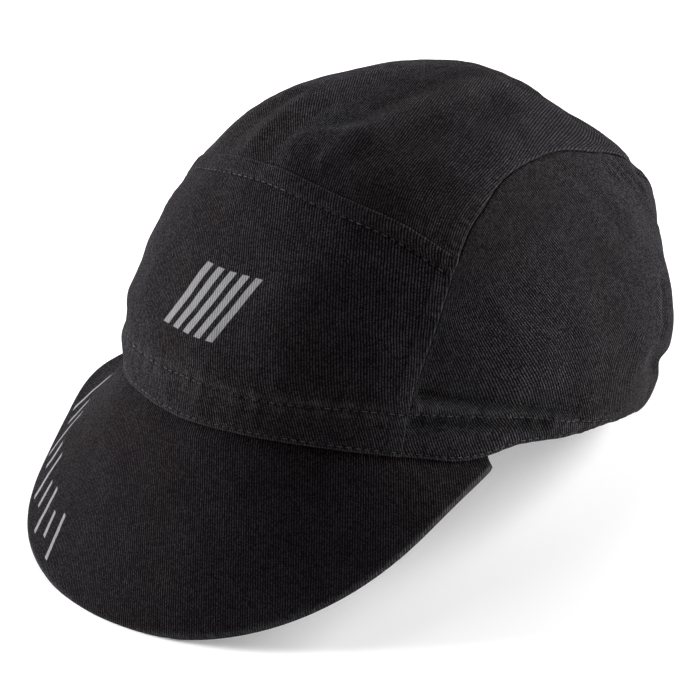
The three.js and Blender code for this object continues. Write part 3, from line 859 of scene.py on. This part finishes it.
# edges are a panel's bottom, top, left and right, and a top panel's bottom is the front seam; gap is what is
# left open at its left, right, bottom and top, as a share of its width or height; ribs are angle and spacing
panels = {
    "frontPanelCloth": {
        "node": "front_panel", "columns": 240, "rows": 140,
        "gap": (0.0004, 0.0004, 0.0016, 0.0016), "ribs": (111.5, 0.91), "ink": barsPatch,
        "edges": (rimBetween(-frontEdge, frontEdge), frontTopCurve, mirrored(frontSideCurve), frontSideCurve),
        "seams": {"frontTop": "stitched", "frontSideLeft": "pressed", "frontSideRight": "pressed"},
        "stitches": ("frontTopStitches", "bandStitches", "hemStitches"),
    },
    "topPanelLeftCloth": {
        "node": "top_panel_left", "columns": 84, "rows": 330,
        "gap": (0, 0.0006, 0.0004, 0.0004), "ribs": (105.5, 0.83), "bend": 1.6,
        "edges": (lambda t: frontTopCurve(0.5 + t / 2), rimBetween(180, backEdge), middleCurve, topSideCurve),
        "seams": {"frontTop": "under", "topSideLeft": "pressed", "middle": "soft"},
        "stitches": ("bandStitches", "hemStitches"),
    },
    "topPanelRightCloth": {
        "node": "top_panel_right", "columns": 84, "rows": 330,
        "gap": (0.0006, 0, 0.0004, 0.0004), "ribs": (131, 0.84),
        "edges": (lambda t: frontTopCurve(t / 2), rimBetween(-backEdge, -180), mirrored(topSideCurve),
                  middleCurve),
        "seams": {"frontTop": "under", "topSideRight": "pressed", "middle": "soft"},
        "stitches": ("bandStitches", "hemStitches"),
    },
    "sidePanelLeftCloth": {
        "node": "side_panel_left", "columns": 230, "rows": 120,
        "gap": (0.0004, 0.0004, 0.0014, 0.0014), "ribs": (134, 0.82),
        "edges": (rimBetween(frontEdge, backEdge), sideTopCurve, frontSideCurve, sideBackCurve),
        "seams": {"frontSideLeft": "under", "topSideLeft": "shadowed"},
        "stitches": ("bandStitches", "hemStitches"),
    },
    "sidePanelRightCloth": {
        "node": "side_panel_right", "columns": 230, "rows": 120,
        "gap": (0.0004, 0.0004, 0.0014, 0.0014), "ribs": (134, 0.82),
        "edges": (rimBetween(-backEdge, -frontEdge), lambda t: mirrored(sideTopCurve)(1 - t),
                  mirrored(sideBackCurve), mirrored(frontSideCurve)),
        "seams": {"frontSideRight": "under", "topSideRight": "shadowed"},
        "stitches": ("bandStitches", "hemStitches"),
    },
}
endCrowding = 0.72
bendFrom = 0.045        # metres from the front seam; beyond it the ribs of a panel with a bend turn aside


def buildPanel(name, panel):
    bm, shares, order = clothGrid(panel["columns"], panel["rows"])
    left, right, bottom, top = panel["gap"]
    u = left + (1 - left - right) * crowdEnds(shares[:, 0], endCrowding)
    v = bottom + (1 - bottom - top) * crowdEnds(shares[:, 1], endCrowding)
    outer, normals, values = clothCrown(panel, fillPatch(panel["edges"], u, v))
    inner = outer - normals * crown["wall"]
    uvs = clothUvs(outer, panel["columns"], panel["rows"])
    uvs[:, 0] += panel.get("bend", 0) * np.maximum(uvs[:, 1] - bendFrom, 0) ** 2
    clothBody(bm, order, setDown(outer), setDown(inner), uvs, values)
    material = twillMaterial(name + "Twill", panel["ribs"], ink=panel.get("ink"))
    return finishPiece(name, bm, material, [panel["node"]])


for panelName, panelFacts in panels.items():
    buildPanel(panelName, panelFacts)


# the peak

peakCloth = {
    "columns": 210, "rows": 84,
    "edgeRadius": 1.6,       # the cloth turns round the edge of the core
    "tuck": 2.2,             # goes up between the band and the sweatband
    "tuckDepth": 2.05,       # its middle there, below the face of the band
    "tuckHalf": 0.3,
    "swellOver": 5,          # from that to its full thickness
    "slack": 0.6, "calmEdge": 6,          # it waves less than the crown, and least near its edge
    # the edge is painted pale, as rubbed wear and as painted highlight, and where the peak goes in under the band it
    # gets painted shade
    "edgeWearAndHighlight": 0.85, "edgeCrest": 0.7, "edgeCrestWidth": 1.1,
    "rimShade": 0.9, "rimShadeWidth": 0.7,
    # pale below 1 makes the peak darker than the crown's same cloth: painted shade
    "ribs": (115, 0.86), "pale": 0.64,
}


# the peak as straight rulings that start at the rim
def ruledSheet(bearing, reach):
    slope = np.radians(slopeAt(bearing))
    heading = np.radians(headingAt(bearing))
    ruling = np.stack([
        np.sin(heading) * np.cos(slope), -np.cos(heading) * np.cos(slope), -np.sin(slope)], -1)
    return smoothCrown(planPoints(bearing, np.zeros_like(bearing))) + ruling * reach[:, None]


def ruledNormal(bearing, reach, step=0.5, turn=0.2):
    ahead = ruledSheet(bearing, reach + step) - ruledSheet(bearing, reach - step)
    aside = ruledSheet(bearing + turn, reach) - ruledSheet(bearing - turn, reach)
    normal = np.cross(ahead, aside)
    return normal / np.linalg.norm(normal, axis=1, keepdims=True)


def roundedEdge(distance, radius):
    return np.sqrt(1 - (1 - np.clip(distance / radius, 0, 1)) ** 2)


def smoothShare(value, low, high):
    share = np.clip((value - low) / (high - low), 0, 1)
    return share * share * (3 - 2 * share)


# the third corner of a flat triangle, from its distances to the other two
def thirdCorner(a, b, fromA, fromB):
    side = b - a
    length = np.linalg.norm(side)
    along = (fromA ** 2 - fromB ** 2 + length ** 2) / (2 * length)
    away = math.sqrt(max(fromA ** 2 - along ** 2, 0))
    return a + side / length * along + np.array([side[1], -side[0]]) / length * away


# lays a ruled strip out flat, from the lengths of its rulings and of the two diagonals between neighbours
def unrolled(starts, ends):
    def apart(a, b):
        return np.linalg.norm(a - b)
    flatStarts = [np.zeros(2)]
    flatEnds = [np.array([0, apart(ends[0], starts[0])])]
    for i in range(len(starts) - 1):
        start, end, nextStart, nextEnd = starts[i], ends[i], starts[i + 1], ends[i + 1]
        a = flatStarts[-1]
        b = flatEnds[-1]
        c = thirdCorner(a, b, apart(nextStart, start), apart(nextStart, end))
        d = thirdCorner(c, b, apart(nextEnd, nextStart), apart(nextEnd, end))
        flatStarts.append(c)
        flatEnds.append(d)
    return np.array(flatStarts), np.array(flatEnds)


# the peak's cloth plane: its rulings laid out flat, with the middle one straight up
def peakUvs(bearing, reach, length, columns):
    oneRow = slice(0, columns + 1)
    rim = ruledSheet(bearing[oneRow], np.zeros(columns + 1))
    edge = ruledSheet(bearing[oneRow], length[oneRow])
    flatRim, flatEdge = unrolled(rim, edge)
    middle = columns // 2
    ahead = flatEdge[middle] - flatRim[middle]
    ahead /= np.linalg.norm(ahead)
    turned = np.array([[ahead[1], -ahead[0]], [ahead[0], ahead[1]]])
    column = np.arange(len(reach)) % (columns + 1)
    flat = flatRim[column] + (flatEdge - flatRim)[column] * (reach / length)[:, None]
    return (flat - flatRim[middle]) @ turned.T * millimetre


def buildPeak():
    columns = peakCloth["columns"]
    bm, shares, order = clothGrid(columns, peakCloth["rows"])
    lastBearing = peakRulings[-1][0]
    bearing = lastBearing * np.sin(np.pi * (0.5 - shares[:, 0]))
    length = rulingLengthAt(bearing)
    reach = crowdEnds(shares[:, 1], endCrowding) * (length + peakCloth["tuck"]) - peakCloth["tuck"]

    # behind the band the peak follows the wall, and bends into its own slope below it
    planAbove = planPoints(bearing, np.maximum(-reach, 0) / rimStationLength)
    sheet = np.where(reach[:, None] < 0, smoothCrown(planAbove), ruledSheet(bearing, np.maximum(reach, 0)))
    swell = smoothShare(reach, 0, peakCloth["swellOver"])
    leaving = swell[:, None]
    normal = (1 - leaving) * crownNormal(planAbove) + leaving * ruledNormal(bearing, np.maximum(reach, 0))
    normal /= np.linalg.norm(normal, axis=1, keepdims=True)
    fromEdge = length - reach
    sideEnds = np.array([-lastBearing, -lastBearing, lastBearing, lastBearing], float)
    sideLine = ruledSheet(sideEnds, np.array([0, 1, 0, 1], float) * rulingLengthAt(sideEnds))
    fromSide = np.minimum(nearestOn(sheet, sideLine[:2])[0], nearestOn(sheet, sideLine[2:])[0])
    radius = peakCloth["edgeRadius"]
    fullness = roundedEdge(fromEdge, radius) * roundedEdge(fromSide, radius)
    half = peakCloth["tuckHalf"] + (peakShape["thickness"] / 2 - peakCloth["tuckHalf"]) * swell
    fullDepth = peakShape["recess"] + peakShape["thickness"] / 2
    depth = peakCloth["tuckDepth"] + (fullDepth - peakCloth["tuckDepth"]) * swell
    middle = sheet - normal * depth[:, None]
    uneven = softWaves(middle, slackLook) * peakCloth["slack"] + softWaves(middle, crumpleLook)
    uneven *= np.clip(fromEdge / peakCloth["calmEdge"], 0, 1)
    top = middle + normal * (half * fullness + uneven * fullness * swell)[:, None]
    bottom = middle - normal * (half * fullness)[:, None]

    uvs = peakUvs(bearing, reach, length, columns)
    # painted highlight and wear along the edge, painted shade at the rim under the band
    edgeCrest = hump(fromEdge - peakCloth["edgeCrest"], peakCloth["edgeCrestWidth"])
    values = {
        "wearAndHighlight": peakCloth["edgeWearAndHighlight"] * edgeCrest,
        "shade": peakCloth["rimShade"] * hump(np.maximum(reach, 0), peakCloth["rimShadeWidth"]),
        "edgeDistance": fromEdge,
        "bearing": bearing,
    }
    clothBody(bm, order, setDown(top), setDown(bottom), uvs, values)
    material = twillMaterial("peakTwill", peakCloth["ribs"], ink=strokesRow, pale=peakCloth["pale"])
    return finishPiece("peakCloth", bm, material, ["peak"])


buildPeak()


# the sweatband inside the rim

bandTape = {
    "columns": 320, "rows": 8, "top": 0.13,
    "outer": 2.5, "inner": 3.4,           # depths of its two faces below the face of the panels
    "swell": 0.25, "thinEdge": 0.3,       # its faces draw in at the edges and swell in the middle
    "ribs": (90, 0.8),
}


def buildBand():
    bm, shares, order = clothGrid(bandTape["columns"], bandTape["rows"])
    plan = planPoints(360 * shares[:, 0], bandTape["top"] * shares[:, 1])
    points = smoothCrown(plan)
    normals = crownNormal(plan)
    points = points + normals * foldRelief(foldLines, plan, points)[:, None]
    swell = bandTape["swell"] * np.sqrt(4 * (shares[:, 1] * (1 - shares[:, 1])))
    outer = points - normals * (bandTape["outer"] + bandTape["thinEdge"] - swell)[:, None]
    inner = points - normals * (bandTape["inner"] - bandTape["thinEdge"] + swell)[:, None]
    uvs = clothUvs(outer, bandTape["columns"], bandTape["rows"])
    clothBody(bm, order, setDown(outer), setDown(inner), uvs, {})
    material = twillMaterial("bandTape", bandTape["ribs"])
    return finishPiece("sweatbandTape", bm, material, ["sweatband"])


buildBand()


# the rows of stitches

def panelAt(bearing):
    if abs(bearing) < frontEdge:
        return panels["frontPanelCloth"]
    name = "sidePanel" if abs(bearing) < backEdge else "topPanel"
    return panels[name + ("Left" if bearing > 0 else "Right") + "Cloth"]


# the plan points of the stitches' starts, middles and ends
def stitchRow(name):
    walked = walkedAlong(lines[name])
    pitch = stitchPitch(lines[name])
    middles = np.arange(0.5, walked[-1] / pitch) * pitch
    half = thread["length"] / 2
    return [pointAt(place, walked, stitchPlans[name]) for place in (middles - half, middles, middles + half)]


threadLook = {
    "dark": grey(0.012), "pale": grey(0.06), "patchSize": 180.0, "patchRange": (0.35, 0.65),
    "plySize": 900.0, "plyWander": 2.0, "plyRelief": 0.00005, "plyStrength": 0.6,
    "roughness": 0.75, "specular": 0.3,
}


def fadedThread():
    material = bpy.data.materials.new("fadedThread")
    material.use_nodes = True
    tree = material.node_tree
    shader = tree.nodes["Principled BSDF"]
    spot = addNode(tree, "ShaderNodeTexCoord").outputs["Object"]
    patches = addNode(tree, "ShaderNodeTexNoise", Vector=spot, Scale=threadLook["patchSize"], Detail=3.0)
    tone = mapRange(tree, patches.outputs[0], *threadLook["patchRange"])
    colour = mixColours(tree, tone, threadLook["dark"], threadLook["pale"])
    tree.links.new(colour, shader.inputs["Base Color"])
    shader.inputs["Roughness"].default_value = threadLook["roughness"]
    shader.inputs["Specular IOR Level"].default_value = threadLook["specular"]
    ply = addNode(tree, "ShaderNodeTexWave", Vector=spot, Scale=threadLook["plySize"],
                  Distortion=threadLook["plyWander"])
    bump = addNode(tree, "ShaderNodeBump", Height=ply.outputs[1], Strength=threadLook["plyStrength"],
                   Distance=threadLook["plyRelief"])
    tree.links.new(bump.outputs[0], shader.inputs["Normal"])
    return material


threadMaterial = fadedThread()


def buildStitches(name):
    random = np.random.default_rng(len(name))
    starts, middles, ends = stitchRow(name)
    bearings = bearingOf(middles)
    bm = bmesh.new()
    for panel in panels.values():
        chosen = np.array([panelAt(bearing) is panel for bearing in bearings])
        if not chosen.any():
            continue
        start = clothCrown(panel, starts[chosen])[0]
        middle, normal, _ = clothCrown(panel, middles[chosen])
        end = clothCrown(panel, ends[chosen])[0]
        heads = setDown(end)
        tails = setDown(start)
        centres = setDown(middle + normal * (thread["height"] / 2 - thread["sunk"]))
        ups = setDown(middle + normal) - setDown(middle)
        for head, tail, centre, up in zip(heads, tails, centres, ups):
            along = Vector(head - tail).normalized()
            side = Vector(up).cross(along).normalized()
            side = (side + along * random.uniform(-thread["skew"], thread["skew"])).normalized()
            top = along.cross(side)
            half = np.array([thread["width"], thread["height"], thread["length"]]) / 2 * millimetre
            half[2] *= random.uniform(*thread["unevenLength"])
            turn = Matrix((side * half[0], top * half[1], along * half[2])).transposed().to_4x4()
            turn.translation = centre
            bmesh.ops.create_uvsphere(
                bm, u_segments=thread["sidesAround"], v_segments=thread["ringsAlong"], radius=1, matrix=turn)
    return finishPiece(name, bm, threadMaterial, ())


for rowName in stitchPlans:
    buildStitches(rowName)


# floor, lights and camera

floorLook = {
    "halfSize": 3, "level": -0.0003,          # metres; the lowest stitches of the hem reach this far down
    "colour": grey(0.93), "roughness": 0.9, "glow": 0.16,
}


def buildFloor():
    bm = bmesh.new()
    bmesh.ops.create_grid(bm, x_segments=1, y_segments=1, size=floorLook["halfSize"])
    bmesh.ops.translate(bm, verts=bm.verts, vec=(0, 0, floorLook["level"]))
    mesh = bpy.data.meshes.new("floor")
    bm.to_mesh(mesh)
    bm.free()
    material = bpy.data.materials.new("paleFloor")
    material.use_nodes = True
    shader = material.node_tree.nodes["Principled BSDF"]
    shader.inputs["Base Color"].default_value = floorLook["colour"]
    shader.inputs["Roughness"].default_value = floorLook["roughness"]
    shader.inputs["Emission Color"].default_value = grey(1.0)
    shader.inputs["Emission Strength"].default_value = floorLook["glow"]
    mesh.materials.append(material)
    floor = bpy.data.objects.new("floor", mesh)
    bpy.context.scene.collection.objects.link(floor)


# metres and degrees; aside and above are how far the middle of the picture is from the target
cameraView = {
    "azimuth": 46.82, "elevation": 24.05, "roll": 3.44, "distance": 1.4, "lens": 206.5, "sensor": 36,
    "target": (0, 0.0149, 0.085), "aside": -0.0098, "above": -0.0347,
}
worldGlow = 0.06
softbox = {"distance": 1.6, "size": 1.2, "aimHeight": 0.07}
# bearing round the cap from the camera's, height angle, watts
studioLights = {
    "leftSoftbox": (-110, 12, 80),
    "rightSoftbox": (107, 16, 56),
    "sideSoftbox": (75, 14, 9),
    "overheadSoftbox": (180, 60, 8),
}


# from the cap towards a bearing, 0 in front of the peak and 90 at the wearer's left, and a height angle
def directionTo(bearing, heightAngle):
    a = math.radians(bearing)
    e = math.radians(heightAngle)
    return Vector((math.sin(a) * math.cos(e), -math.cos(a) * math.cos(e), math.sin(e)))


def placeCamera():
    roll = math.radians(cameraView["roll"])
    backward = directionTo(cameraView["azimuth"], cameraView["elevation"])
    level = directionTo(cameraView["azimuth"] + 90, 0)
    upright = backward.cross(level)
    imageUp = upright * math.cos(roll) + level * math.sin(roll)
    imageRight = imageUp.cross(backward)
    target = Vector(cameraView["target"])
    place = target + backward * cameraView["distance"]
    aim = target + imageRight * cameraView["aside"] + imageUp * cameraView["above"]
    zAxis = (place - aim).normalized()
    xAxis = imageUp.cross(zAxis).normalized()
    stance = Matrix((xAxis, zAxis.cross(xAxis), zAxis)).transposed().to_4x4()
    stance.translation = place
    data = bpy.data.cameras.new("camera")
    data.lens = cameraView["lens"]
    data.sensor_width = cameraView["sensor"]
    camera = bpy.data.objects.new("camera", data)
    camera.matrix_world = stance
    bpy.context.scene.collection.objects.link(camera)
    bpy.context.scene.camera = camera


def placeLights():
    world = bpy.data.worlds.new("paleStudio")
    world.use_nodes = True
    background = world.node_tree.nodes["Background"]
    background.inputs["Color"].default_value = grey(1.0)
    background.inputs["Strength"].default_value = worldGlow
    bpy.context.scene.world = world
    for name, (bearing, heightAngle, watts) in studioLights.items():
        data = bpy.data.lights.new(name, "AREA")
        data.shape = "DISK"
        data.size = softbox["size"]
        data.energy = watts
        light = bpy.data.objects.new(name, data)
        away = directionTo(cameraView["azimuth"] + bearing, heightAngle)
        light.location = Vector((0, 0, softbox["aimHeight"])) + away * softbox["distance"]
        light.rotation_euler = away.to_track_quat("Z", "Y").to_euler()
        bpy.context.scene.collection.objects.link(light)


buildFloor()
placeCamera()
placeLights()
bpy.context.scene.view_settings.view_transform = "Standard"
print("studio ready")
